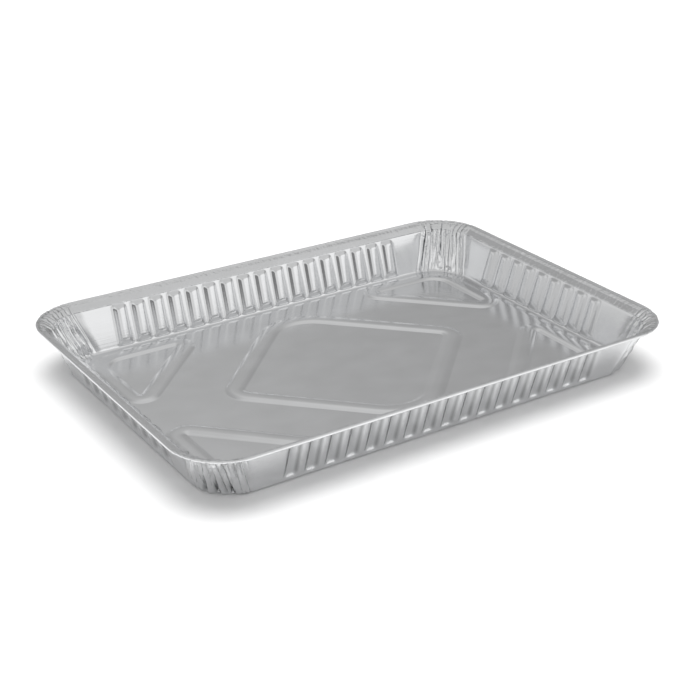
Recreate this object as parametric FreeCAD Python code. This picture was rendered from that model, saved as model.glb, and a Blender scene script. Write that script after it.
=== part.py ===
"""Shallow baking tray pressed from one sheet of aluminium foil, with a rolled rim."""

import FreeCAD, Part
import math
import os

# Overall sizes and plan of the tray, in mm
rim_length = 320.0
rim_width = 226.0
tray_height = 31.0
rim_corner_radius = 31.5
foot_length = 287.0
foot_width = 193.0
foot_corner_radius = 25.0
foot_edge_radius = 2.0
foot_edge_facets = 3
foil = 0.3

# Flange that rises outwards, with its hem and rolled bead
flange_width = 8.25
flange_slope = 24.0
bead_radius = 1.0
bead_facets = 9
hem_width = 1.4
hem_margin = 0.06

# Ribs pressed inwards in the walls
rib_width = 9.3
rib_crest_width = 3.1
rib_depth = 1.7
rib_pitch = 12.45
rib_count_on_long_wall = 17
rib_count_on_short_wall = 9
rib_bottom = 1.7
rib_bottom_ramp = 3.4
rib_below_flange = 1.2
rib_top_ramp = 1.3

# Gathered corners
folds_per_corner = 13
fold_depth_top = 0.75
fold_depth_foot = 0.3
fold_lift = 0.3

# How uneven the folds are: their drift sideways, usual strength, and fading at the ends
fold_drift = 0.3
fold_fine_drift = 0.12
fold_usual_strength = 0.72
fold_end_strength = 0.4
fold_end_gain = 0.3

# Raised floor and the ridges on it
foot_ring_width = 3.9
floor_step = 2.3
floor_step_run = 2.2
ridge_width = 11.6
ridge_crest_width = 2.4
ridge_height = 0.9
diamond_reach = 80.0
diamond_side_round = 9.0
diamond_end_round = 28.0
corner_loop_reach = 143.2
corner_loop_x = 129.2
corner_loop_y = 82.2
corner_loop_round = 6.5
corner_loop_back_round = 17.0

# How far tools reach past the surfaces that they cut
clear = 0.6
lid_height = 4.0

V = FreeCAD.Vector

# Rings in plan, each as half length, half width and corner radius
foot_ring = (foot_length / 2, foot_width / 2, foot_corner_radius)
wall_top_ring = (
    rim_length / 2 - flange_width,
    rim_width / 2 - flange_width,
    rim_corner_radius - flange_width,
)

# Heights and angles that follow from the sizes
rise = math.tan(math.radians(flange_slope))
flange_cos = math.cos(math.radians(flange_slope))
bead_out = flange_width - bead_radius
bead_z = tray_height - bead_radius
wall_top_z = bead_z - foil / 2 / flange_cos - bead_out * rise
lean = math.atan2(wall_top_ring[0] - foot_ring[0], wall_top_z)


def grown(ring, by):
    """Gives a ring moved outwards all round by a distance."""
    return (ring[0] + by, ring[1] + by, ring[2] + by)


def fold_lines(corner):
    """Gives the angle and the push, in or out, of each fold line in one corner."""
    count = 2 * folds_per_corner
    lines = [(0.0, 0.0)]
    for k in range(1, count):
        drift = fold_drift * math.sin(2.4 * k + 1.9 * corner)
        drift += fold_fine_drift * math.sin(5.1 * k + corner)
        unevenness = (1 - fold_usual_strength) * math.sin(1.7 * k + 2.3 * corner)
        fade = min(1.0, fold_end_strength + fold_end_gain * min(k, count - k))
        side = 1.0 if k % 2 else -1.0
        push = side * fade * (fold_usual_strength + unevenness)
        lines.append((math.radians(90.0) * (k + drift) / count, push))
    lines.append((math.radians(90.0), 0.0))
    return lines


def ring_points(ring, z, push=0.0, lift=0.0):
    """Gives the points of one ring at the fold lines, corner after corner."""
    length, width, radius = ring
    points = []
    for corner, (sx, sy) in enumerate(((1, 1), (-1, 1), (-1, -1), (1, -1))):
        centre = V(sx * (length - radius), sy * (width - radius), z)
        for angle, fold in fold_lines(corner):
            turn = math.radians(90.0) * corner + angle
            reach = radius + push * fold
            points.append(centre + V(reach * math.cos(turn), reach * math.sin(turn), lift * fold))
    return points


def band(lower, upper):
    """Gives the flat faces between two rings: one on a straight side, two at each fold."""
    faces = []
    count = len(lower)
    for i in range(count):
        j = (i + 1) % count
        if j % (count // 4) == 0:
            outlines = [[lower[i], lower[j], upper[j], upper[i]]]
        else:
            outlines = [[lower[i], lower[j], upper[j]], [lower[i], upper[j], upper[i]]]
        faces += [Part.Face(Part.makePolygon(line + line[:1])) for line in outlines]
    return faces


def lid(points):
    """Gives the flat face that closes a ring."""
    return Part.Face(Part.makePolygon(points + points[:1]))


def foot_rings(offset):
    """Gives the rings of the rounded foot edge, from the flat foot up to the wall."""
    radius = foot_edge_radius - offset
    turn = math.radians(90.0) - lean
    run = foot_edge_radius * math.tan(turn / 2)
    rings = []
    for step in range(foot_edge_facets + 1):
        share = step / foot_edge_facets
        angle = turn * share
        out = radius * math.sin(angle) - run
        z = foot_edge_radius - radius * math.cos(angle)
        rings.append(ring_points(grown(foot_ring, out), z, fold_depth_foot * share))
    return rings


def solid_of(faces):
    """Gives the solid that a closed set of faces bounds."""
    shell = Part.Shell(faces)
    shell.sewShape()
    solid = Part.Solid(shell)
    if solid.Volume < 0:
        solid.reverse()
    return solid


def filled(offset):
    """Gives the space inside one surface of the sheet, before its ribs are cut."""
    up = offset / flange_cos
    side = offset / math.cos(lean)
    inset = (side - up * math.tan(lean)) / (1 - rise * math.tan(lean))
    reach = bead_out - bead_radius - hem_width / 2
    reach += 2 * clear if offset else 0.0
    tip_ring = grown(wall_top_ring, reach)
    top_z = wall_top_z + up - inset * rise
    rings = foot_rings(offset)
    rings.append(ring_points(grown(wall_top_ring, -inset), top_z, fold_depth_top, fold_lift))
    rings.append(ring_points(tip_ring, wall_top_z + up + reach * rise))
    rings.append(ring_points(tip_ring, tray_height + lid_height + offset))
    faces = [lid(rings[0]), lid(rings[-1])]
    for lower, upper in zip(rings, rings[1:]):
        faces += band(lower, upper)
    return solid_of(faces)


def widening(run, height, offset):
    """Gives how far a sloping side moves out where the sheet's other surface runs."""
    return offset * math.tan(math.atan2(height, run) / 2)


def rib_block(offset):
    """Gives one rib as a block to cut, with X along the wall, Y inwards and Z up the wall."""
    side_ramp = (rib_width - rib_crest_width) / 2
    half = rib_width / 2 + widening(side_ramp, rib_depth, offset)
    low = rib_bottom / math.cos(lean) - widening(rib_bottom_ramp, rib_depth, offset)
    high = (wall_top_z - rib_below_flange) / math.cos(lean)
    high += widening(rib_top_ramp, rib_depth, offset)
    share = clear / rib_depth
    crest = half - side_ramp
    return Part.makeWedge(
        -half - side_ramp * share,
        -clear,
        low - rib_bottom_ramp * share,
        low + rib_bottom_ramp,
        -crest,
        half + side_ramp * share,
        rib_depth,
        high + rib_top_ramp * share,
        high - rib_top_ramp,
        crest,
    )


def rib_blocks(offset):
    """Gives the blocks of all the ribs, placed on the four walls."""
    block = rib_block(offset)
    sides = (
        (V(0, -1, 0), foot_ring[1], rib_count_on_long_wall),
        (V(0, 1, 0), foot_ring[1], rib_count_on_long_wall),
        (V(1, 0, 0), foot_ring[0], rib_count_on_short_wall),
        (V(-1, 0, 0), foot_ring[0], rib_count_on_short_wall),
    )
    blocks = []
    for outwards, distance, count in sides:
        up = outwards * math.sin(lean) + V(0, 0, math.cos(lean))
        inwards = V(0, 0, math.sin(lean)) - outwards * math.cos(lean)
        along = inwards.cross(up)
        turn = FreeCAD.Rotation(along, inwards, up, "ZXY")
        middle = outwards * distance + inwards * offset
        for k in range(count):
            place = middle + along * (rib_pitch * (k - (count - 1) / 2))
            copy = block.copy()
            copy.Placement = FreeCAD.Placement(place, turn)
            blocks.append(copy)
    return blocks


def rounded_loop(corners, radii):
    """Gives a closed wire through corners that are each rounded to a radius."""
    count = len(corners)
    arcs = []
    for i in range(count):
        here = corners[i]
        before = (corners[i - 1] - here).normalize()
        after = (corners[(i + 1) % count] - here).normalize()
        half = math.acos(before.dot(after)) / 2
        run = radii[i] / math.tan(half)
        middle = (before + after).normalize() * (radii[i] / math.sin(half) - radii[i])
        arcs.append((here + before * run, here + middle, here + after * run))
    edges = []
    for i in range(count):
        edges.append(Part.Arc(*arcs[i]).toShape())
        edges.append(Part.makeLine(arcs[i][2], arcs[(i + 1) % count][0]))
    return Part.Wire(edges)


def rounded_rectangle(ring, z):
    """Gives the closed wire of one ring."""
    length, width, radius = ring
    corners = [V(length, width, z), V(-length, width, z), V(-length, -width, z), V(length, -width, z)]
    return rounded_loop(corners, [radius] * 4)


def floor_block(offset):
    """Gives the block that lifts the floor inside the flat ring of the foot."""
    edge = grown(foot_ring, -foot_edge_radius - foot_ring_width)
    slope = floor_step_run / floor_step
    spread = widening(floor_step_run, floor_step, offset)
    top = rounded_rectangle(grown(edge, spread - floor_step_run), floor_step + offset)
    low = rounded_rectangle(grown(edge, spread + slope * (clear + offset)), -clear)
    return Part.makeLoft([low, top], True, True)


def ridge_lines():
    """Gives the centre lines of the ridges: a diamond, and a triangle in each corner."""
    z = floor_step
    reach = diamond_reach
    tips = [V(reach, 0, z), V(0, reach, z), V(-reach, 0, z), V(0, -reach, z)]
    lines = [rounded_loop(tips, [diamond_side_round, diamond_end_round] * 2)]
    for sx, sy in ((1, 1), (-1, 1), (-1, -1), (1, -1)):
        corners = [
            V(sx * corner_loop_x, sy * corner_loop_y, z),
            V(sx * (corner_loop_reach - corner_loop_y), sy * corner_loop_y, z),
            V(sx * corner_loop_x, sy * (corner_loop_reach - corner_loop_x), z),
        ]
        lines.append(rounded_loop(corners, [corner_loop_back_round] + [corner_loop_round] * 2))
    return lines


def start_frame(path):
    """Gives the first point of a level path and the direction outwards from its loop."""
    first = path.Edges[0]
    start = first.valueAt(first.FirstParameter)
    side = first.tangentAt(first.FirstParameter).cross(V(0, 0, 1)).normalize()
    if side.dot(start - path.BoundBox.Center) < 0:
        side = side * -1
    return start, side


def ridge_block(line, offset):
    """Gives the block of one ridge, swept round its centre line."""
    start, side = start_frame(line)
    ramp = (ridge_width - ridge_crest_width) / 2
    spread = widening(ramp, ridge_height, offset)
    half = ridge_width / 2 + spread
    crest = ridge_crest_width / 2 + spread
    base = V(0, 0, offset)
    top = V(0, 0, offset + ridge_height)
    under = V(0, 0, -clear)
    points = [
        start - side * half + under,
        start - side * half + base,
        start - side * crest + top,
        start + side * crest + top,
        start + side * half + base,
        start + side * half + under,
    ]
    return line.makePipe(Part.Face(Part.makePolygon(points + points[:1])))


def rolled_edge():
    """Gives the rim's bead and hem, crimped at the folds, which take in the flange's edge."""
    thick = foil / 2 + hem_margin
    back = math.radians(180.0 + flange_slope)
    opening = math.asin(thick / bead_radius)
    across = V(-math.sin(back), math.cos(back))
    hem = V(math.cos(back), math.sin(back)) * (bead_radius + hem_width)
    section = [hem + across * thick, hem - across * thick]
    for step in range(bead_facets + 1):
        angle = back - opening - (math.radians(360.0) - 2 * opening) * step / bead_facets
        section.append(V(bead_radius * math.cos(angle), bead_radius * math.sin(angle)))
    rings = []
    for point in section:
        ring = grown(wall_top_ring, bead_out + point.x)
        points = ring_points(ring, bead_z + point.y)
        rings.append([q for k, q in enumerate(points) if k % (2 * folds_per_corner + 1) % 2 == 0])
    faces = []
    for lower, upper in zip(rings, rings[1:] + rings[:1]):
        for i in range(len(lower)):
            outline = [lower[i - 1], lower[i], upper[i], upper[i - 1], lower[i - 1]]
            faces.append(Part.Face(Part.makePolygon(outline)))
    return solid_of(faces)


def pressed(offset):
    """Gives the space inside one surface of the sheet, with ribs, floor and ridges."""
    blocks = [floor_block(offset)] + [ridge_block(line, offset) for line in ridge_lines()]
    return filled(offset).cut(rib_blocks(offset)).cut(blocks)


def tray():
    """Gives the whole sheet as one solid."""
    sheet = pressed(0.0).cut(pressed(foil)).fuse(rolled_edge())
    return sheet.Solids[0]


os.makedirs("parts", exist_ok=True)
tray().exportStep("parts/tray.step")
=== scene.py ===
"""Looks of a shallow baking tray that is pressed from one sheet of aluminium foil."""

import logging
import math
from dataclasses import dataclass
from enum import Enum

import bpy
import numpy as np
from mathutils import Matrix, Vector, noise
from mathutils.geometry import delaunay_2d_cdt

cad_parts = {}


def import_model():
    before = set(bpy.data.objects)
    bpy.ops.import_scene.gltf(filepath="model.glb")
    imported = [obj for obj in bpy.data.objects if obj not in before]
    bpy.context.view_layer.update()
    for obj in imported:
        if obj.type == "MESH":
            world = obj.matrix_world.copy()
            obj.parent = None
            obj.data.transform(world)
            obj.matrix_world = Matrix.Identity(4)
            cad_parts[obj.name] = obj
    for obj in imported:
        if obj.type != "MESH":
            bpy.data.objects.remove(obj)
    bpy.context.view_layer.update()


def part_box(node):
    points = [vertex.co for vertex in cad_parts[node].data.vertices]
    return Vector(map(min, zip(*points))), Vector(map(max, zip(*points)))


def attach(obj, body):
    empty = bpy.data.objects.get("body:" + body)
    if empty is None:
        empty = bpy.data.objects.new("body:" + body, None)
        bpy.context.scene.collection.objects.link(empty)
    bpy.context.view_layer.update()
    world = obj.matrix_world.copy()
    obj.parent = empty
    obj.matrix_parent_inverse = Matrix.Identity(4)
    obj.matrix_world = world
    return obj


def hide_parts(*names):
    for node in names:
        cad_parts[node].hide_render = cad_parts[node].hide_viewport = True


LOG = logging.getLogger("tray")
MM = 0.001
QUARTER = math.pi / 2
QUADRANTS = ((1, 1), (-1, 1), (-1, -1), (1, -1))
FAR_FROM_RIBS = 99.0
ON_A_SIDE = -1
SEED_STEPS = (17.3, 5.9, 11.1)
TRIANGLES_INSIDE = 2
MERGE_DISTANCE = 0.0001

Colour = tuple[float, float, float, float]
Triple = tuple[float, float, float]


class Side(Enum):
    """The four straight sides, each by the direction that it faces."""

    BACK = (0.0, 1.0)
    LEFT = (-1.0, 0.0)
    FRONT = (0.0, -1.0)
    RIGHT = (1.0, 0.0)

    @property
    def is_long(self) -> bool:
        """Tells whether the side runs along the tray's length."""
        return self.value[0] == 0.0


class Signal:
    """A socket of a node tree that can be used in plain arithmetic."""

    def __init__(self, tree: bpy.types.NodeTree, socket: bpy.types.NodeSocket) -> None:
        """Wraps a socket.

        Args:
            tree: The node tree that holds the socket.
            socket: The output socket that carries the value.
        """
        self.tree = tree
        self.socket = socket

    def math(self, operation: str, other: object) -> "Signal":
        """Adds one Math node.

        Args:
            operation: The Math node's operation.
            other: The value or signal after this one.

        Returns:
            The node's result.
        """
        node = self.tree.nodes.new("ShaderNodeMath")
        node.operation = operation
        plug(self.tree, node.inputs[0], self)
        plug(self.tree, node.inputs[1], other)
        return Signal(self.tree, node.outputs[0])

    def __add__(self, other: object) -> "Signal":
        """Gives the sum."""
        return self.math("ADD", other)

    def __mul__(self, other: object) -> "Signal":
        """Gives the product."""
        return self.math("MULTIPLY", other)

    def __sub__(self, other: object) -> "Signal":
        """Gives the difference."""
        return self.math("SUBTRACT", other)

    def __rsub__(self, other: float) -> "Signal":
        """Gives a number less this signal."""
        return self * -1.0 + other

    def clamped(self) -> "Signal":
        """Keeps the signal between 0 and 1."""
        return self.math("MAXIMUM", 0.0).math("MINIMUM", 1.0)


def plug(tree: bpy.types.NodeTree, slot: bpy.types.NodeSocket, value: object) -> None:
    """Links a signal to a socket, or sets the socket to a plain value.

    Args:
        tree: The node tree.
        slot: The input socket.
        value: A signal, a socket, or a number, colour or vector.
    """
    if isinstance(value, Signal):
        value = value.socket
    if isinstance(value, bpy.types.NodeSocket):
        tree.links.new(value, slot)
    else:
        slot.default_value = value


@dataclass(frozen=True)
class Relief:
    """Fine relief of a finish.

    Attributes:
        scale: How many waves a metre holds along X, Y and Z.
        height: The height of a full relief, in metres.
        detail: How many finer octaves are added.
        rough: How strong the finer octaves are.
    """

    scale: Triple
    height: float
    detail: float = 1.0
    rough: float = 0.5


class Shader:
    """The node tree of one material or of the world."""

    def __init__(self, tree: bpy.types.NodeTree) -> None:
        """Empties a node tree and keeps it.

        Args:
            tree: The node tree.
        """
        self.tree = tree
        tree.nodes.clear()

    def node(self, kind: str, settings: dict, sockets: dict) -> bpy.types.Node:
        """Adds one node.

        Args:
            kind: The node's type.
            settings: Its own settings, and a ramp's stops under the name stops.
            sockets: Values or links of its input sockets, by name or index.

        Returns:
            The new node.
        """
        made = self.tree.nodes.new(kind)
        for name, value in settings.items():
            if name == "stops":
                self.set_stops(made.color_ramp, value)
            else:
                setattr(made, name, value)
        for name, value in sockets.items():
            plug(self.tree, made.inputs[name], value)
        return made

    @staticmethod
    def set_stops(ramp: bpy.types.ColorRamp, stops: list[tuple[float, Colour]]) -> None:
        """Sets the stops of a colour ramp.

        Args:
            ramp: The ramp, which starts with two stops.
            stops: The place and colour of each stop.
        """
        while len(ramp.elements) < len(stops):
            ramp.elements.new(1.0)
        for element, (place, colour) in zip(ramp.elements, stops):
            element.position = place
            element.color = colour

    def signal(self, node: bpy.types.Node, output: object = 0) -> Signal:
        """Gives one output of a node as a signal.

        Args:
            node: The node.
            output: The output's name or index.

        Returns:
            The signal.
        """
        return Signal(self.tree, node.outputs[output])

    def noise(self, relief: Relief) -> Signal:
        """Gives noise over the object.

        Args:
            relief: The relief that the noise is for.

        Returns:
            The noise, from 0 to 1.
        """
        place = self.node("ShaderNodeTexCoord", {}, {})
        spread = self.node(
            "ShaderNodeVectorMath",
            {"operation": "MULTIPLY"},
            {0: place.outputs["Object"], 1: relief.scale},
        )
        made = self.node(
            "ShaderNodeTexNoise",
            {},
            {
                "Vector": spread.outputs[0],
                "Scale": 1.0,
                "Detail": relief.detail,
                "Roughness": relief.rough,
            },
        )
        return self.signal(made, "Fac")

    def mask(self, name: str) -> Signal:
        """Gives a mask that is kept on the mesh's points.

        Args:
            name: The mask's name.

        Returns:
            The mask, from 0 to 1.
        """
        made = self.node("ShaderNodeAttribute", {"attribute_name": name}, {})
        return self.signal(made, "Fac")

    def mix(self, share: Signal, first: object, second: object) -> bpy.types.NodeSocket:
        """Mixes two colours.

        Args:
            share: The share of the second colour.
            first: The first colour, or a socket that gives it.
            second: The second colour, or a socket that gives it.

        Returns:
            The mixed colour.
        """
        sockets = {0: share, 6: first, 7: second}
        return self.node("ShaderNodeMix", {"data_type": "RGBA"}, sockets).outputs[2]

    def bump(
        self, height: Signal, distance: float, normal: object = None
    ) -> bpy.types.NodeSocket:
        """Adds a Bump node.

        Args:
            height: The relief, from 0 to 1.
            distance: The height of a full relief, in metres.
            normal: The normal of the Bump node before this one, if there is one.

        Returns:
            The bumped normal.
        """
        sockets = {"Height": height, "Distance": distance, "Strength": 1.0}
        if normal is not None:
            sockets["Normal"] = normal
        return self.node("ShaderNodeBump", {}, sockets).outputs[0]


@dataclass(frozen=True)
class RolledFoil:
    """Bright aluminium foil with its rolling grain, pebbled flange and crushed corners."""

    colour: Colour = (0.81, 0.815, 0.825, 1.0)
    dull_colour: Colour = (0.74, 0.745, 0.75, 1.0)
    # Dark colour of the painted shade along the outside's rib flanks and in its deep folds.
    painted_shade_colour: Colour = (0.46, 0.465, 0.47, 1.0)
    tint_contrast: float = 1.4
    tint_cut: float = 0.2
    roughness: float = 0.15
    grain_roughness: float = 0.08
    sway_roughness: float = 0.06
    grain: Relief = Relief((14.0, 1100.0, 1100.0), 0.000012, detail=2.0)
    sway: Relief = Relief((45.0, 60.0, 60.0), 0.00004)
    crush: Relief = Relief((620.0, 620.0, 620.0), 0.0004, detail=2.0, rough=0.6)
    pebble: Relief = Relief((430.0, 430.0, 430.0), 0.0004)

    def material(self) -> bpy.types.Material:
        """Builds the material."""
        made = bpy.data.materials.new("rolled_foil")
        made.use_nodes = True
        shader = Shader(made.node_tree)
        grain = shader.noise(self.grain)
        sway = shader.noise(self.sway)
        crush = shader.noise(self.crush)
        pebble = shader.noise(self.pebble)
        normal = shader.bump(sway, self.sway.height)
        normal = shader.bump(pebble * shader.mask("flange"), self.pebble.height, normal)
        normal = shader.bump(crush * shader.mask("gathered"), self.crush.height, normal)
        normal = shader.bump(grain, self.grain.height, normal)
        bright = (sway * self.tint_contrast - self.tint_cut).clamped()
        tint = shader.mix(bright, self.dull_colour, self.colour)
        # Painted shade: the dark colour is mixed in along the outside's rib flanks and deep
        # folds, where shade falls.
        tint = shader.mix(shader.mask("painted_shade"), tint, self.painted_shade_colour)
        unevenness = grain * self.grain_roughness + sway * self.sway_roughness
        mean_unevenness = (self.grain_roughness + self.sway_roughness) / 2
        surface = shader.node(
            "ShaderNodeBsdfPrincipled",
            {},
            {
                "Base Color": tint,
                "Metallic": 1.0,
                "Roughness": unevenness + (self.roughness - mean_unevenness),
                "Normal": normal,
            },
        )
        shader.node("ShaderNodeOutputMaterial", {}, {"Surface": surface.outputs[0]})
        return made


@dataclass(frozen=True)
class StudioFloor:
    """Plain white studio floor that keeps the tray's shadow."""

    colour: Colour = (0.95, 0.95, 0.95, 1.0)
    size: float = 60.0

    def material(self) -> bpy.types.Material:
        """Builds the material."""
        made = bpy.data.materials.new("studio_floor")
        made.use_nodes = True
        shader = Shader(made.node_tree)
        matt = shader.node("ShaderNodeBsdfDiffuse", {}, {"Color": self.colour})
        shader.node("ShaderNodeOutputMaterial", {}, {"Surface": matt.outputs[0]})
        return made

    def build(self) -> bpy.types.Object:
        """Builds the floor as one large square under the tray."""
        half = self.size / 2
        corners = [(x * half, y * half, 0.0) for x, y in QUADRANTS]
        mesh = bpy.data.meshes.new("studio_floor")
        mesh.from_pydata(corners, [], [(0, 1, 2, 3)])
        mesh.materials.append(self.material())
        floor = bpy.data.objects.new("studio_floor", mesh)
        bpy.context.scene.collection.objects.link(floor)
        return floor


@dataclass(frozen=True)
class Panel:
    """A soft-edged pale or dark panel of the studio, seen from the tray.

    Attributes:
        direction: Where the panel's middle is.
        edge: The angle from its middle to its outer edge, in degrees.
        core: The angle from its middle to where it starts to fade, in degrees.
        level: Its brightness.
    """

    direction: Triple
    edge: float
    core: float
    level: float


@dataclass(frozen=True)
class SoftLamp:
    """A distant lamp with soft shadows.

    Attributes:
        name: The lamp's name.
        direction: Where it shines from.
        spread: How wide it is, in degrees.
        power: Its strength.
    """

    name: str
    direction: Triple
    spread: float
    power: float


@dataclass(frozen=True)
class Studio:
    """The pale surroundings that the foil mirrors, two soft lamps, and the camera."""

    target: Triple = (0.012818, 0.017467, 0.0)
    azimuth: float = -33.497
    elevation: float = 25.25
    roll: float = 0.077
    distance: float = 0.865598
    lens: float = 72.567
    sensor_width: float = 36.0
    clip_start: float = 0.01
    clip_end: float = 100.0
    sky: tuple[tuple[float, float], ...] = (
        (0.0, 0.42),
        (0.3, 0.44),
        (0.45, 0.5),
        (0.72, 0.72),
        (0.85, 0.68),
        (1.0, 0.66),
    )
    panels: tuple[Panel, ...] = (
        Panel((0.6, -0.79, 0.12), 35.0, 18.0, 1.08),
        Panel((-0.2, -0.97, 0.12), 28.0, 12.0, 0.85),
        Panel((-0.75, -0.5, 0.42), 34.0, 16.0, 1.0),
        Panel((-0.66, -0.74, 0.08), 19.0, 8.0, 0.2),
        Panel((-0.15, 0.8, 0.58), 32.0, 14.0, 0.43),
        Panel((0.87, 0.39, 0.29), 42.0, 10.0, 0.39),
        Panel((-0.98, -0.17, 0.1), 30.0, 12.0, 0.66),
        Panel((-0.72, 0.68, 0.1), 34.0, 14.0, 0.75),
    )
    lamps: tuple[SoftLamp, ...] = (
        SoftLamp("overhead", (0.02, 0.06, 1.0), 46.0, 2.1),
        SoftLamp("fill", (0.0, 0.0, 1.0), 150.0, 1.8),
    )

    def camera(self) -> bpy.types.Object:
        """Sets the camera at the photograph's viewing angle."""
        turn = math.radians(self.azimuth)
        tilt = math.radians(self.elevation)
        level = math.cos(tilt)
        back = Vector((math.sin(turn) * level, -math.cos(turn) * level, math.sin(tilt)))
        data = bpy.data.cameras.new("camera")
        data.sensor_width = self.sensor_width
        data.lens = self.lens
        data.clip_start = self.clip_start
        data.clip_end = self.clip_end
        camera = bpy.data.objects.new("camera", data)
        facing = (-back).to_track_quat("-Z", "Y").to_matrix().to_4x4()
        spin = Matrix.Rotation(math.radians(self.roll), 4, "Z")
        place = Matrix.Translation(Vector(self.target) + back * self.distance)
        camera.matrix_world = place @ facing @ spin
        bpy.context.scene.collection.objects.link(camera)
        bpy.context.scene.camera = camera
        return camera

    def world(self) -> None:
        """Sets what the foil mirrors all round: the sky, with the panels in it."""
        world = bpy.data.worlds.new("studio")
        bpy.context.scene.world = world
        world.use_nodes = True
        world.cycles_visibility.diffuse = False
        shader = Shader(world.node_tree)
        place = shader.node("ShaderNodeTexCoord", {}, {})
        toward = place.outputs["Generated"]
        parts = shader.node("ShaderNodeSeparateXYZ", {}, {0: toward})
        stops = [(height, (level, level, level, 1.0)) for height, level in self.sky]
        ramp = shader.node("ShaderNodeValToRGB", {"stops": stops}, {0: parts.outputs["Z"]})
        level = shader.signal(ramp)
        for panel in self.panels:
            share = self.panel_share(shader, toward, panel)
            level = level * (1.0 - share) + share * panel.level
        white = (1.0, 1.0, 1.0, 1.0)
        glow = shader.node("ShaderNodeBackground", {}, {"Color": white, "Strength": level})
        shader.node("ShaderNodeOutputWorld", {}, {"Surface": glow.outputs[0]})

    @staticmethod
    def panel_share(shader: Shader, toward: bpy.types.NodeSocket, panel: Panel) -> Signal:
        """Gives how much of a panel is seen in each direction.

        Args:
            shader: The world's node tree.
            toward: The direction.
            panel: The panel.

        Returns:
            The share, from 0 outside the panel to 1 in its core.
        """
        middle = tuple(Vector(panel.direction).normalized())
        facing = shader.node(
            "ShaderNodeVectorMath", {"operation": "DOT_PRODUCT"}, {0: toward, 1: middle}
        )
        share = shader.node(
            "ShaderNodeMapRange",
            {"interpolation_type": "SMOOTHSTEP"},
            {
                "Value": facing.outputs["Value"],
                "From Min": math.cos(math.radians(panel.edge)),
                "From Max": math.cos(math.radians(panel.core)),
            },
        )
        return shader.signal(share)

    def light(self) -> None:
        """Hangs the lamps, which light the floor and stay out of what the foil mirrors."""
        for soft in self.lamps:
            data = bpy.data.lights.new(soft.name, "SUN")
            data.angle = math.radians(soft.spread)
            data.energy = soft.power
            lamp = bpy.data.objects.new(soft.name, data)
            lamp.visible_glossy = False
            lamp.location = soft.direction
            facing = (-Vector(soft.direction)).to_track_quat("-Z", "Y")
            lamp.rotation_euler = facing.to_euler()
            bpy.context.scene.collection.objects.link(lamp)


def soft_min(first: np.ndarray, second: object, width: float) -> np.ndarray:
    """Gives the lesser of two arrays, rounded where they cross.

    Args:
        first: The first array.
        second: The second array or number.
        width: How far apart they are where the rounding starts.

    Returns:
        The rounded minimum.
    """
    share = np.clip(0.5 + 0.5 * (second - first) / width, 0.0, 1.0)
    return second * (1.0 - share) + first * share - width * share * (1.0 - share)


def soft_step(value: np.ndarray, width: float) -> np.ndarray:
    """Keeps a ramp between 0 and 1, rounded at both of its ends.

    Args:
        value: The ramp.
        width: How wide the rounding is.

    Returns:
        The rounded ramp.
    """
    return -soft_min(-soft_min(value, 1.0, width), 0.0, width)


def spread_between(
    first: np.ndarray, last: np.ndarray, shares: tuple[float, ...]
) -> list[np.ndarray]:
    """Gives points between two others.

    Args:
        first: The point at a share of 0.
        last: The point at a share of 1.
        shares: The share of each new point.

    Returns:
        The points.
    """
    return [first * (1.0 - share) + last * share for share in shares]


class Arc:
    """The arc that rounds one corner of a flat line."""

    def __init__(
        self, before: np.ndarray, corner: np.ndarray, after: np.ndarray, radius: float
    ) -> None:
        """Fits the arc.

        Args:
            before: The line's corner before this one.
            corner: The corner that is rounded.
            after: The line's corner after this one.
            radius: The arc's radius.
        """
        back = (before - corner) / np.linalg.norm(before - corner)
        ahead = (after - corner) / np.linalg.norm(after - corner)
        bisector = (back + ahead) / np.linalg.norm(back + ahead)
        half = math.acos(float(back @ ahead)) / 2
        run = radius / math.tan(half)
        self.radius = radius
        self.corner = corner
        self.centre = corner + bisector * radius / math.sin(half)
        self.start = corner + back * run
        self.end = corner + ahead * run
        self.sweep = math.pi - 2 * half

    def points(self, pieces: int) -> list[np.ndarray]:
        """Gives points along the arc, its ends included.

        Args:
            pieces: How many pieces the arc is split into.

        Returns:
            The points.
        """
        first = (self.start - self.centre) / math.sin(self.sweep)
        last = (self.end - self.centre) / math.sin(self.sweep)
        turns = [self.sweep * k / pieces for k in range(pieces + 1)]
        arms = [first * math.sin(self.sweep - turn) + last * math.sin(turn) for turn in turns]
        return [self.centre + arm for arm in arms]


@dataclass(frozen=True)
class Ripple:
    """Smooth noise of one coarseness.

    Attributes:
        scale: Waves in a millimetre.
        seed: Shifts the noise, so that two ripples differ.
    """

    scale: float
    seed: float

    def at(self, points: np.ndarray) -> np.ndarray:
        """Gives the noise at each point.

        Args:
            points: Positions in mm, with their three numbers last.

        Returns:
            The noise from about -1 to 1, with the shape of the points.
        """
        shift = Vector([self.seed * step for step in SEED_STEPS])
        flat = points.reshape(-1, 3) * self.scale
        values = [noise.noise(Vector(p) + shift) for p in flat.tolist()]
        return np.array(values).reshape(points.shape[:-1])


@dataclass(frozen=True)
class Wave:
    """A sine that makes the folds uneven, as it runs on from fold to fold.

    Attributes:
        size: How strong it is.
        per_fold: How far it runs on at each fold line, in radians.
        per_corner: How far it runs on at each corner, in radians.
    """

    size: float
    per_fold: float
    per_corner: float

    def at(self, line: int, corner: int) -> float:
        """Gives the wave at one fold line.

        Args:
            line: The fold line's number in its corner.
            corner: The corner's number.

        Returns:
            The wave's value.
        """
        return self.size * math.sin(self.per_fold * line + self.per_corner * corner)


@dataclass(frozen=True)
class Dent:
    """A fold that is tucked in at the foot of a corner.

    Attributes:
        corner: The corner's number.
        angle: Its place in the corner, in degrees.
        width: Half its width at the foot, in degrees.
        height: How far up it reaches, in mm.
        depth: How far in it goes at the foot, in mm.
    """

    corner: int
    angle: float
    width: float
    height: float
    depth: float


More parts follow.
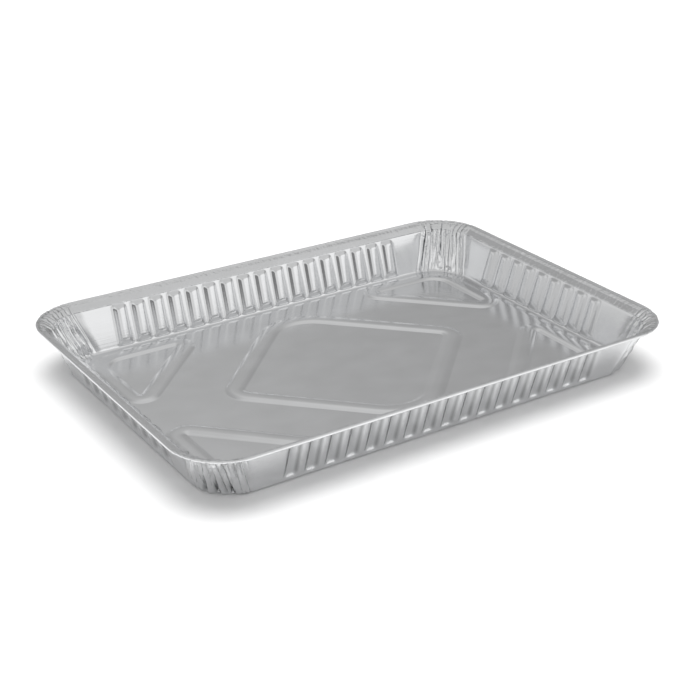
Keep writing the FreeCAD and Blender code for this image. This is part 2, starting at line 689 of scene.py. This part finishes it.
@dataclass(frozen=True)
class Section:
    """The sheet's section from the floor's edge to the bead, as outward distance and height.

    Distances are in mm, outwards from the outline of the foot, along the underside, and
    the lip's slope is in radians.
    """

    flange_reach: float
    flange_height: float
    lip_slope: float
    wall_reach: float
    wall_height: float
    foot_round: float = 2.0
    foot_pieces: int = 4
    groove_width: float = 3.9
    groove_round: float = 0.8
    floor_step: float = 2.3
    step_run: float = 2.2
    step_round: float = 1.1
    step_pieces: int = 2
    flange_round: float = 2.2
    flange_pieces: int = 4
    lip_share: float = 0.49
    lip_round: float = 0.5
    lip_pieces: int = 2
    margin: float = 1.2
    wall_rows: tuple[float, ...] = (
        0.03, 0.06, 0.09, 0.125, 0.16, 0.2, 0.3, 0.45, 0.6, 0.75, 0.86, 0.905, 0.95,
    )
    lip_rows: tuple[float, ...] = (0.35, 0.7, 1.0)

    def corners(self) -> list[np.ndarray]:
        """Gives the section's corners and both of its ends, from the floor outwards."""
        groove_start = -self.foot_round - self.groove_width
        step_start = groove_start - self.step_run
        lip_width = (self.flange_reach - self.wall_reach) * self.lip_share
        lip_height = self.flange_height - lip_width * math.tan(self.lip_slope)
        places = [
            (step_start - self.margin, self.floor_step),
            (step_start, self.floor_step),
            (groove_start, 0.0),
            (0.0, 0.0),
            (self.wall_reach, self.wall_height),
            (self.flange_reach - lip_width, lip_height),
            (self.flange_reach, self.flange_height),
        ]
        return [np.array(place) for place in places]

    def rows(self) -> np.ndarray:
        """Gives the section's points, from the floor outwards.

        Returns:
            One row of outward distance and height for each ring of the mesh.
        """
        marks = self.corners()
        low_rounds = (self.step_round, self.groove_round, self.foot_round)
        rounds = (*low_rounds, self.flange_round, self.lip_round)
        step, groove, foot, flange, lip = [
            Arc(marks[i], marks[i + 1], marks[i + 2], radius) for i, radius in enumerate(rounds)
        ]
        points = [marks[0]]
        points += step.points(self.step_pieces)
        points += groove.points(self.step_pieces)
        points.append((points[-1] + foot.corner) / 2)
        points += foot.points(self.foot_pieces)
        points += spread_between(points[-1], flange.start, self.wall_rows)
        points += flange.points(self.flange_pieces)
        points.append((points[-1] + lip.corner) / 2)
        points += lip.points(self.lip_pieces)
        points += spread_between(points[-1], marks[-1], self.lip_rows)
        return np.array(points)


@dataclass(frozen=True)
class RidgeLoop:
    """The centre line of one pressed ridge: closed, and rounded at its corners.

    Attributes:
        corners: The line's corners, in mm.
        radii: The rounding of each corner, in mm.
        step: The longest distance between points on a straight, in mm.
        turn: The widest angle between points on a round stretch, in degrees.
        least_pieces: The fewest pieces in a round stretch.
    """

    corners: tuple[tuple[float, float], ...]
    radii: tuple[float, ...]
    step: float = 4.0
    turn: float = 10.0
    least_pieces: int = 4

    def arcs(self) -> list[Arc]:
        """Gives the arcs that round the corners, turning left."""
        marks = [np.array(corner) for corner in self.corners]
        radii = self.radii
        first, second = marks[1] - marks[0], marks[2] - marks[1]
        if first[0] * second[1] < first[1] * second[0]:
            marks = marks[::-1]
            radii = radii[::-1]
        after = marks[1:] + marks[:1]
        return [Arc(marks[i - 1], marks[i], after[i], radius) for i, radius in enumerate(radii)]

    def line(self) -> tuple[np.ndarray, np.ndarray]:
        """Gives points along the line.

        Returns:
            The points and the outward direction at each, turning left.
        """
        arcs = self.arcs()
        points, outs = [], []
        for arc, following in zip(arcs, arcs[1:] + arcs[:1]):
            pieces = max(self.least_pieces, int(arc.sweep / math.radians(self.turn)))
            curve = arc.points(pieces)
            points += curve
            outs += [(point - arc.centre) / arc.radius for point in curve]
            begin = points[-1]
            way = following.start - begin
            steps = max(1, int(np.linalg.norm(way) / self.step))
            for k in range(1, steps):
                points.append(begin + way * k / steps)
                outs.append(outs[-1])
        return np.array(points), np.array(outs)


@dataclass(frozen=True)
class Column:
    """One column of the sheet's mesh, from the floor to the bead.

    Attributes:
        scale: How its place follows a ring's half length and width less the corner radius.
        fixed: The part of its place that is the same in each ring, in mm.
        face: The direction that it faces.
        rib: Its distance from the nearest rib's middle, in mm.
        corner: Its corner's number, or ON_A_SIDE.
        angle: How far it is into its corner, in radians.
    """

    scale: tuple[float, float]
    fixed: tuple[float, float]
    face: tuple[float, float]
    rib: float = FAR_FROM_RIBS
    corner: int = ON_A_SIDE
    angle: float = 0.0


@dataclass
class FoilTray:
    """The whole tray as one sheet: floor with ridges, ribbed walls, flange and rolled bead.

    Lengths are in mm and angles in degrees. The underside is laid out first, in rows from
    the floor outwards and in columns round the tray, and the top side lies a foil above it.
    The corners are numbered from 0 at +X and +Y, turning left.
    """

    high: Vector
    finish: RolledFoil = RolledFoil()
    foil: float = 0.3

    foot_inset: float = 16.5
    foot_corner_radius: float = 25.0
    rim_corner_radius: float = 31.5
    flange_width: float = 8.25
    flange_slope: float = 24.0
    lip_slope: float = 13.0

    pebble: Ripple = Ripple(0.28, 3.0)
    pebble_height: float = 0.12
    fine_pebble: Ripple = Ripple(0.5, 4.0)
    fine_pebble_height: float = 0.08
    corner_pebble_height: float = 0.75

    bead_radius: float = 1.0
    bead_rows: int = 9
    bead_dent: Ripple = Ripple(0.22, 5.0)
    bead_dent_depth: float = 0.12
    bead_dent_at_corners: float = 0.3
    bead_crush: Ripple = Ripple(0.8, 7.0)
    bead_crush_at_corners: float = 0.7
    bead_dent_limit: float = 0.6
    bead_flange_mask: float = 0.3
    bead_gathered_mask: float = 0.4

    rib_width: float = 8.8
    rib_crest_width: float = 4.4
    rib_depth: float = 1.9
    rib_pitch: float = 12.45
    rib_count_on_long_wall: int = 17
    rib_count_on_short_wall: int = 9
    rib_bottom: float = 1.7
    rib_bottom_ramp: float = 2.8
    rib_below_flange: float = 1.2
    rib_top_ramp: float = 1.3
    rib_round: float = 0.45
    rib_end_round: float = 0.5
    rib_corner_round: float = 0.35
    rib_columns: tuple[float, ...] = (0.0, 1.9, 2.5, 3.3, 4.1, 4.8)
    plain_columns: int = 4
    # Where the painted shade starts: how far up the ribs' end ramps, and how deep a fold must
    # go.
    painted_shade_from_end: float = 0.4
    painted_shade_from_depth: float = 0.6

    folds_per_corner: int = 13
    fold_steps: int = 3
    fold_drift: Wave = Wave(0.3, 2.4, 1.9)
    fold_fine_drift: Wave = Wave(0.12, 5.1, 1.0)
    fold_usual_strength: float = 0.72
    fold_swing: Wave = Wave(0.28, 1.7, 2.3)
    fold_end_strength: float = 0.4
    fold_end_gain: float = 0.3
    fold_depth_top: float = 1.0
    fold_depth_foot: float = 0.7
    fold_slant: Wave = Wave(0.09, 1.0, 2.1)
    fold_sway: float = 0.03
    fold_sway_waves: float = 9.0
    fold_lift: float = 0.4
    fold_foot_gain: float = 20.0
    fold_loss_on_flange: float = 0.8
    gather_gain: float = 3.0

    crease: Ripple = Ripple(0.26, 1.0)
    fine_crease: Ripple = Ripple(0.6, 2.0)
    fine_crease_share: float = 0.45
    crease_level: float = 0.45
    crease_sharpness: float = 2.0
    crease_depth: float = 1.25
    crease_upright: float = 0.3
    corners_apart: float = 60.0
    dent_tip_share: float = 0.25
    dents: tuple[Dent, ...] = (
        Dent(2, 27.0, 3.6, 13.0, 3.4),
        Dent(2, 42.0, 4.5, 14.0, 3.2),
        Dent(2, 60.0, 7.0, 10.0, 2.4),
        Dent(3, 18.0, 6.0, 16.0, 1.4),
        Dent(3, 55.0, 7.0, 14.0, 1.2),
        Dent(0, 30.0, 6.0, 12.0, 1.2),
        Dent(1, 50.0, 6.0, 14.0, 1.3),
    )

    ridge_width: float = 11.6
    ridge_crest_width: float = 2.4
    ridge_height: float = 1.0
    diamond_reach: float = 80.0
    diamond_side_round: float = 9.0
    diamond_end_round: float = 28.0
    corner_loop_reach: float = 143.2
    corner_loop_x: float = 129.2
    corner_loop_y: float = 82.2
    corner_loop_round: float = 6.5
    corner_loop_back_round: float = 17.0
    ridge_offsets: tuple[float, ...] = (0.0, 1.2, 2.3, 3.4, 4.4, 5.2, 5.8, 6.4)
    floor_spacing: float = 9.0
    floor_clearance: float = 0.45
    floor_margin: float = 0.6
    floor_ripple: Ripple = Ripple(0.03, 6.0)
    floor_ripple_height: float = 0.04
    floor_ripple_fade: float = 20.0

    def __post_init__(self) -> None:
        """Works out what follows from the frame's box and the driving sizes."""
        rim_x, rim_y, height = [size / MM for size in self.high]
        self.foot_x = rim_x - self.foot_inset
        self.foot_y = rim_y - self.foot_inset
        self.bead_z = height - self.bead_radius
        self.bead_reach = self.foot_inset - self.bead_radius
        self.section = self.make_section()
        self.lean = math.atan2(self.section.wall_reach, self.section.wall_height)
        self.out, self.z = self.section.rows().T
        on_wall = self.out > -self.section.foot_round
        self.wall_share = np.clip(self.z / self.section.wall_height, 0.0, 1.0) * on_wall
        flange = self.section.flange_reach - self.section.wall_reach
        self.flange_share = np.clip((self.out - self.section.wall_reach) / flange, 0.0, 1.0)
        self.make_columns()

    def make_section(self) -> Section:
        """Gives the sheet's section, and keeps where the bead meets the flange."""
        slope = math.radians(self.flange_slope)
        lip = math.radians(self.lip_slope)
        bead_out = self.flange_width - self.bead_radius
        joint = math.asin(self.foil / 2 / self.bead_radius)
        self.bead_from = math.pi + lip - joint
        self.bead_to = -math.pi + lip + joint
        under_flange = self.foil / 2 / math.cos(slope)
        return Section(
            flange_reach=self.bead_reach + self.bead_radius * math.cos(self.bead_to),
            flange_height=self.bead_z + self.bead_radius * math.sin(self.bead_to),
            lip_slope=lip,
            wall_reach=self.foot_inset - self.flange_width,
            wall_height=self.bead_z - under_flange - bead_out * math.tan(slope),
        )

    def make_columns(self) -> None:
        """Lays out the mesh's columns round the tray, corner and side in turn."""
        columns = []
        for corner, side in enumerate(Side):
            columns += self.corner_columns(corner) + self.side_columns(side)
        self.x_scale, self.y_scale = np.array([column.scale for column in columns]).T
        self.x_fixed, self.y_fixed = np.array([column.fixed for column in columns]).T
        self.x_face, self.y_face = np.array([column.face for column in columns]).T
        self.rib_place = np.array([column.rib for column in columns])
        self.corner = np.array([column.corner for column in columns])
        self.corner_angle = np.array([column.angle for column in columns])
        self.gather = np.clip(np.sin(2 * self.corner_angle) * self.gather_gain, 0.0, 1.0)

    def fold_lines(self, corner: int) -> list[tuple[float, float]]:
        """Gives the angle and the push, in or out, of each fold line in one corner.

        Args:
            corner: The corner's number.

        Returns:
            Pairs of angle within the corner, in radians, and push from -1 to 1.
        """
        count = 2 * self.folds_per_corner
        lines = [(0.0, 0.0)]
        for k in range(1, count):
            drift = self.fold_drift.at(k, corner) + self.fold_fine_drift.at(k, corner)
            strength = self.fold_usual_strength + self.fold_swing.at(k, corner)
            from_end = min(k, count - k)
            fade = min(1.0, self.fold_end_strength + self.fold_end_gain * from_end)
            side = 1.0 if k % 2 else -1.0
            lines.append((QUARTER * (k + drift) / count, side * strength * fade))
        lines.append((QUARTER, 0.0))
        return lines

    def corner_columns(self, corner: int) -> list[Column]:
        """Gives the columns of one corner, both of its ends included.

        Args:
            corner: The corner's number.

        Returns:
            The columns.
        """
        lines = self.fold_lines(corner)
        angles = []
        for (start, _), (end, _) in zip(lines, lines[1:]):
            steps = range(self.fold_steps)
            angles += [start + (end - start) * k / self.fold_steps for k in steps]
        angles.append(QUARTER)
        columns = []
        for angle in angles:
            turn = QUARTER * corner + angle
            columns.append(
                Column(
                    scale=QUADRANTS[corner],
                    fixed=(0.0, 0.0),
                    face=(math.cos(turn), math.sin(turn)),
                    corner=corner,
                    angle=angle,
                )
            )
        return columns

    def side_columns(self, side: Side) -> list[Column]:
        """Gives the columns of one straight side, without its two ends.

        Args:
            side: The side.

        Returns:
            The columns.
        """
        count = self.rib_count_on_long_wall if side.is_long else self.rib_count_on_short_wall
        reach = self.rib_pitch * count / 2
        shares = [k / self.plain_columns for k in range(1, self.plain_columns)]
        across = [-d for d in reversed(self.rib_columns[1:])] + list(self.rib_columns)
        places = [(-(1 - share), -reach * share, FAR_FROM_RIBS) for share in shares]
        for k in range(count):
            middle = self.rib_pitch * (k - (count - 1) / 2)
            places.append((0.0, middle - self.rib_pitch / 2, self.rib_pitch / 2))
            places += [(0.0, middle + d, abs(d)) for d in across]
        places.append((0.0, reach, self.rib_pitch / 2))
        places += [(share, reach * (1 - share), FAR_FROM_RIBS) for share in shares]
        face_x, face_y = side.value
        along_x, along_y = -face_y, face_x
        return [
            Column(
                scale=(face_x + along_x * scaled, face_y + along_y * scaled),
                fixed=(along_x * fixed, along_y * fixed),
                face=side.value,
                rib=rib,
            )
            for scaled, fixed, rib in places
        ]

    def ring_radius(self, out: np.ndarray) -> np.ndarray:
        """Gives the corner radius of rings.

        Args:
            out: Their distances out from the foot's outline.

        Returns:
            The radius of each.
        """
        wall = self.section.wall_reach
        top_radius = self.rim_corner_radius - self.flange_width
        change = (top_radius - self.foot_corner_radius) / wall
        inside = self.foot_corner_radius + np.minimum(out, 0.0)
        return inside + change * np.clip(out, 0.0, wall) + np.maximum(out - wall, 0.0)

    def place(self, out: np.ndarray, z: np.ndarray) -> np.ndarray:
        """Gives the points of plain rings.

        Args:
            out: The distance out from the foot's outline, by row, or by row and column.
            z: The height, in the same form.

        Returns:
            Points by row and column, in mm.
        """
        if out.ndim == 1:
            out, z = out[:, None], z[:, None]
        radius = self.ring_radius(out)
        x = self.x_scale * (self.foot_x + out - radius) + self.x_fixed + self.x_face * radius
        y = self.y_scale * (self.foot_y + out - radius) + self.y_fixed + self.y_face * radius
        return np.stack(np.broadcast_arrays(x, y, z), axis=-1)

    def rib_flanks(self) -> np.ndarray:
        """Gives how far up a rib's flank each column is: 0 at its foot and 1 at its crest."""
        ramp = (self.rib_width - self.rib_crest_width) / 2
        return (self.rib_width / 2 - self.rib_place) / ramp

    def rib_ends(self) -> np.ndarray:
        """Gives how far up the ribs' end ramps each row is, or -1 off the wall."""
        up = self.z / math.cos(self.lean)
        bottom = self.rib_bottom / math.cos(self.lean)
        top = (self.section.wall_height - self.rib_below_flange) / math.cos(self.lean)
        low = (up - bottom) / self.rib_bottom_ramp
        high = (top - up) / self.rib_top_ramp
        on_wall = (self.out > 0.0) & (self.out < self.section.wall_reach)
        return np.where(on_wall, soft_min(low, high, self.rib_end_round), -1.0)

    def rib_relief(self) -> np.ndarray:
        """Gives how far the ribs stand in, in mm, by row and column."""
        flanks = self.rib_flanks()[None, :]
        ends = self.rib_ends()[:, None]
        return self.rib_depth * soft_step(
            soft_min(flanks, ends, self.rib_corner_round), self.rib_round
        )

    def fold_push(self) -> np.ndarray:
        """Gives the push of the corners' folds by row and column, from -1 to 1."""
        push = np.zeros((len(self.out), len(self.corner)))
        foot_share = 1.0 - self.wall_share[:, None]
        for corner in range(len(QUADRANTS)):
            lines = np.array(self.fold_lines(corner))
            here = self.corner == corner
            angle = self.corner_angle[here]
            drift = self.fold_slant.at(1, corner) * np.sin(2 * angle)
            drift += self.fold_sway * np.sin(self.fold_sway_waves * angle + corner)
            turned = angle[None, :] + drift[None, :] * foot_share * self.gather[here]
            push[:, here] = np.interp(turned, lines[:, 0], lines[:, 1])
        return push

    def creases(self) -> np.ndarray:
        """Gives the sharp, upright creases between the folds, in mm outwards."""
        arc = self.corner_angle * self.foot_corner_radius + self.corner * self.corners_apart
        up = self.z * self.crease_upright
        places = np.stack(np.broadcast_arrays(arc[None, :], up[:, None], 0.0), axis=-1)
        wide = self.crease_level - np.abs(self.crease.at(places)) * self.crease_sharpness
        fine = self.crease_level - np.abs(self.fine_crease.at(places)) * self.crease_sharpness
        return (wide + fine * self.fine_crease_share) * self.crease_depth * self.gather

    def tucks(self) -> np.ndarray:
        """Gives the dents at the foot of the corners, in mm outwards, so below 0."""
        total = np.zeros((len(self.z), len(self.corner)))
        for dent in self.dents:
            left = np.clip(1.0 - self.z / dent.height, 0.0, 1.0)[:, None]
            width = dent.width * (self.dent_tip_share + (1.0 - self.dent_tip_share) * left)
            apart = np.abs(np.degrees(self.corner_angle) - dent.angle)[None, :]
            shape = np.clip(1.0 - apart / width, 0.0, 1.0) * (self.corner == dent.corner)
            total -= shape * np.sqrt(left) * dent.depth
        return total

    def fold_shift(self, push: np.ndarray) -> np.ndarray:
        """Gives how far the gathered corners move from the plain wall.

        Args:
            push: The push of the folds, by row and column.

        Returns:
            The distance outwards by row and column, in mm.
        """
        gain = self.fold_depth_top - self.fold_depth_foot
        depth = self.fold_depth_foot + gain * self.wall_share
        fade = np.clip(self.wall_share * self.fold_foot_gain, 0.0, 1.0)
        fade *= 1.0 - self.fold_loss_on_flange * self.flange_share
        fade *= (self.out > -self.section.foot_round) & (self.flange_share < 1.0)
        return (push * depth[:, None] + self.creases() + self.tucks()) * fade[:, None]

    def painted_shade_share(self, shift: np.ndarray) -> np.ndarray:
        """Gives where the outside is darkened with painted shade: along the rib flanks and in
        the deep folds, where shade falls.

        Args:
            shift: How far the corners move outwards, in mm, by row and column.

        Returns:
            The share by row and column.
        """
        flank = np.clip(self.rib_flanks(), 0.0, 1.0)
        beside_crest = 4.0 * flank * (1.0 - flank)
        from_end = np.clip(self.rib_ends() - self.painted_shade_from_end, 0.0, 1.0)
        in_folds = np.clip(-self.painted_shade_from_depth - shift, 0.0, 1.0) * self.gather
        return from_end[:, None] * beside_crest[None, :] + in_folds

    def surface(self, push: np.ndarray, shift: np.ndarray) -> np.ndarray:
        """Gives the underside of the sheet between the floor and the bead.

        Args:
            push: The push of the folds, by row and column.
            shift: How far the corners move outwards, in mm, by row and column.

        Returns:
            Points by row and column, in mm.
        """
        points = self.place(self.out, self.z).copy()
        fine_height = self.fine_pebble_height + self.corner_pebble_height * self.gather
        pebble = self.pebble.at(points) * self.pebble_height
        pebble += self.fine_pebble.at(points) * fine_height
        flange_middle = np.sin(self.flange_share * math.pi)[:, None]
        from_wall = (1.0 - self.flange_share) * (self.flange_share > 0.0)
        lift = push * self.fold_lift * from_wall[:, None]
        outwards = shift - self.rib_relief()
        points[..., 0] += self.x_face * outwards * math.cos(self.lean)
        points[..., 1] += self.y_face * outwards * math.cos(self.lean)
        points[..., 2] += lift + pebble * flange_middle - outwards * math.sin(self.lean)
        return points

    @staticmethod
    def normals(grid: np.ndarray) -> np.ndarray:
        """Gives the upward normals of a grid whose rows close on themselves.

        Args:
            grid: Points by row and column.

        Returns:
            The normal at each point.
        """
        along = np.roll(grid, -1, axis=1) - np.roll(grid, 1, axis=1)
        across = np.gradient(grid, axis=0)
        normal = np.cross(across, along)
        return normal / np.linalg.norm(normal, axis=-1, keepdims=True)

    def bead(self) -> np.ndarray:
        """Gives the rows of the rolled bead, from the flange's top round to its underside."""
        angles = np.linspace(self.bead_from, self.bead_to, self.bead_rows + 2)[1:-1]
        middle = self.place(np.array([self.bead_reach]), np.array([self.bead_z]))
        dent = np.clip(self.bead_dent.at(middle), 0.0, 1.0)
        dent *= self.bead_dent_depth + self.bead_dent_at_corners * self.gather
        dent += np.abs(self.bead_crush.at(middle)) * self.bead_crush_at_corners * self.gather
        radius = self.bead_radius * (1.0 - np.minimum(dent, self.bead_dent_limit))
        out = self.bead_reach + radius * np.cos(angles)[:, None]
        z = self.bead_z + radius * np.sin(angles)[:, None]
        return self.place(out, z)

    def ridge_loops(self) -> list[RidgeLoop]:
        """Gives the ridges' centre lines: the diamond, then the corner triangles."""
        reach = self.diamond_reach
        tips = ((reach, 0.0), (0.0, reach), (-reach, 0.0), (0.0, -reach))
        loops = [RidgeLoop(tips, (self.diamond_side_round, self.diamond_end_round) * 2)]
        x, y, far = self.corner_loop_x, self.corner_loop_y, self.corner_loop_reach
        radii = (self.corner_loop_back_round, self.corner_loop_round, self.corner_loop_round)
        for sx, sy in QUADRANTS:
            corners = ((sx * x, sy * y), (sx * (far - y), sy * y), (sx * x, sy * (far - x)))
            loops.append(RidgeLoop(corners, radii))
        return loops

    def floor_height(self, points: np.ndarray, lines: list[np.ndarray]) -> np.ndarray:
        """Gives the floor's height, with the ridges on it.

        Args:
            points: Places on the floor.
            lines: The ridges' centre lines.

        Returns:
            The height of the underside at each place.
        """
        nearest = np.full(len(points), np.inf)
        for line in lines:
            run = np.roll(line, -1, axis=0) - line
            share = ((points[:, None, :] - line) * run).sum(-1) / (run * run).sum(-1)
            foot = line + run * np.clip(share, 0.0, 1.0)[..., None]
            gaps = np.linalg.norm(points[:, None, :] - foot, axis=-1)
            nearest = np.minimum(nearest, gaps.min(1))
        ramp = (self.ridge_width - self.ridge_crest_width) / 2
        left = 1.0 - np.clip((self.ridge_width / 2 - nearest) / ramp, 0.0, 1.0)
        return self.section.floor_step + self.ridge_height * (1.0 - left * left)

    def ridge_points(
        self, lines: list[tuple[np.ndarray, np.ndarray]], limit: np.ndarray
    ) -> list[tuple[float, float]]:
        """Gives the floor's points on the ridges and beside them.

        Args:
            lines: The points and outward directions of each centre line.
            limit: Half the length and width that the points keep to.

        Returns:
            The points.
        """
        points = []
        steps = [-d for d in reversed(self.ridge_offsets[1:])] + list(self.ridge_offsets)
        for line, outs in lines:
            for step in steps:
                moved = line + outs * step
                inside = (np.abs(moved) < limit).all(axis=1)
                points += [tuple(point) for point in moved[inside]]
        return points

    def open_points(self, near: np.ndarray, limit: np.ndarray) -> list[tuple[float, float]]:
        """Gives the floor's points away from its edge and the ridges.

        Args:
            near: The points that these keep clear of.
            limit: Half the length and width that the points keep to.

        Returns:
            The points.
        """
        points = []
        columns = np.arange(-limit[0], limit[0], self.floor_spacing)
        rows = np.arange(-limit[1], limit[1], self.floor_spacing)
        for k, y in enumerate(rows):
            for x in columns + (k % 2) * self.floor_spacing / 2:
                gap = np.hypot(near[:, 0] - x, near[:, 1] - y).min()
                if gap > self.floor_spacing * self.floor_clearance:
                    points.append((float(x), float(y)))
        return points

    def floor(self, edge: np.ndarray) -> tuple[np.ndarray, list[tuple[int, ...]]]:
        """Builds the floor inside the first ring of the wall.

        Args:
            edge: The plan of that ring.

        Returns:
            The floor's points, with the ring's own points first, and its triangles.
        """
        ring = len(edge)
        limit = np.abs(edge).max(axis=0) - self.floor_margin
        lines = [loop.line() for loop in self.ridge_loops()]
        points = [tuple(point) for point in edge] + self.ridge_points(lines, limit)
        points += self.open_points(np.array(points), limit)
        places, _, faces, origins, _, _ = delaunay_2d_cdt(
            [Vector(point) for point in points],
            [(i, (i + 1) % ring) for i in range(ring)],
            [tuple(range(ring))],
            TRIANGLES_INSIDE,
            MERGE_DISTANCE,
        )
        order = []
        total = ring
        for sources in origins:
            if sources and sources[0] < ring:
                order.append(sources[0])
            else:
                order.append(total)
                total += 1
        plan = np.zeros((total, 2))
        plan[order] = [tuple(place) for place in places]
        heights = self.floor_height(plan, [line for line, _ in lines])
        heights[:ring] = self.section.floor_step
        full = np.column_stack([plan, heights])
        calm = np.clip((limit - np.abs(plan)) / self.floor_ripple_fade, 0.0, 1.0).prod(axis=1)
        ripple = self.floor_ripple.at(full) * self.floor_ripple_height * calm
        full[ring:, 2] += ripple[ring:]
        return full, [tuple(order[i] for i in face) for face in faces]

    def masks(self, shift: np.ndarray) -> dict[str, np.ndarray]:
        """Gives the finish's masks: on the top side, the bead and the underside in turn.

        Args:
            shift: How far the corners move outwards, in mm, by row and column.

        Returns:
            The masks by name, each by row and column.
        """
        bead = np.ones((self.bead_rows, len(self.corner)))
        flange = (self.flange_share > 0.0)[:, None] * np.ones(len(self.corner))
        gathered = self.wall_share[:, None] * self.gather
        bead_gathered = bead * self.bead_gathered_mask * self.gather
        # Painted shade, on the underside only: the rib flanks and the deep folds.
        painted_shade = self.painted_shade_share(shift)
        return {
            "flange": np.concatenate([flange, bead * self.bead_flange_mask, flange[::-1]]),
            "gathered": np.concatenate([gathered, bead_gathered, gathered[::-1]]),
            "painted_shade": np.concatenate([np.zeros_like(painted_shade), np.zeros_like(bead), painted_shade[::-1]]),
        }

    @staticmethod
    def write_mask(mesh: bpy.types.Mesh, name: str, grid: np.ndarray) -> None:
        """Keeps a mask on the mesh's points, with 0 on the floor's.

        Args:
            mesh: The mesh, whose first points are the grid's.
            name: The mask's name.
            grid: The mask by row and column.
        """
        values = np.zeros(len(mesh.vertices), np.float32)
        values[: grid.size] = grid.ravel()
        layer = mesh.attributes.new(name, "FLOAT", "POINT")
        layer.data.foreach_set("value", values)

    def build(self) -> bpy.types.Object:
        """Builds the sheet as one closed mesh and dresses it."""
        push = self.fold_push()
        shift = self.fold_shift(push)
        under = self.surface(push, shift)
        normal = self.normals(under)
        normal[0] = (0.0, 0.0, 1.0)
        grid = np.concatenate([under + normal * self.foil, self.bead(), under[::-1]])
        rows, columns = grid.shape[:2]
        floor, triangles = self.floor(under[0, :, :2])
        floor_under = floor[columns:]
        floor_over = floor_under + (0.0, 0.0, self.foil)
        vertices = np.concatenate([grid.reshape(-1, 3), floor_over, floor_under])
        vertices[:, 2] = np.maximum(vertices[:, 2], 0.0)
        faces = []
        for i in range(0, (rows - 1) * columns, columns):
            for j in range(columns):
                k = (j + 1) % columns
                faces.append((i + j, i + columns + j, i + columns + k, i + k))
        first_over = rows * columns
        first_under = first_over + len(floor_over)
        over = [*range(columns), *range(first_over, first_under)]
        below = [*range(first_over - columns, first_over), *range(first_under, len(vertices))]
        for face in triangles:
            faces.append(tuple(over[i] for i in face))
            faces.append(tuple(below[i] for i in reversed(face)))
        mesh = bpy.data.meshes.new("tray_sheet")
        mesh.from_pydata((vertices * MM).tolist(), [], faces)
        mesh.validate()
        for name, mask in self.masks(shift).items():
            self.write_mask(mesh, name, mask)
        mesh.shade_smooth()
        mesh.materials.append(self.finish.material())
        tray = bpy.data.objects.new("tray_sheet", mesh)
        bpy.context.scene.collection.objects.link(tray)
        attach(tray, "root")
        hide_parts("tray")
        LOG.info("%s: %d faces", tray.name, len(mesh.polygons))
        return tray


def main() -> None:
    """Builds the tray, the floor and the light."""
    logging.basicConfig(level=logging.INFO, format="%(message)s")
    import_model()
    bpy.context.scene.view_settings.view_transform = "Standard"
    studio = Studio()
    studio.camera()
    studio.world()
    studio.light()
    StudioFloor().build()
    _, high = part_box("tray")
    FoilTray(high).build()


if __name__ == "__main__":
    main()
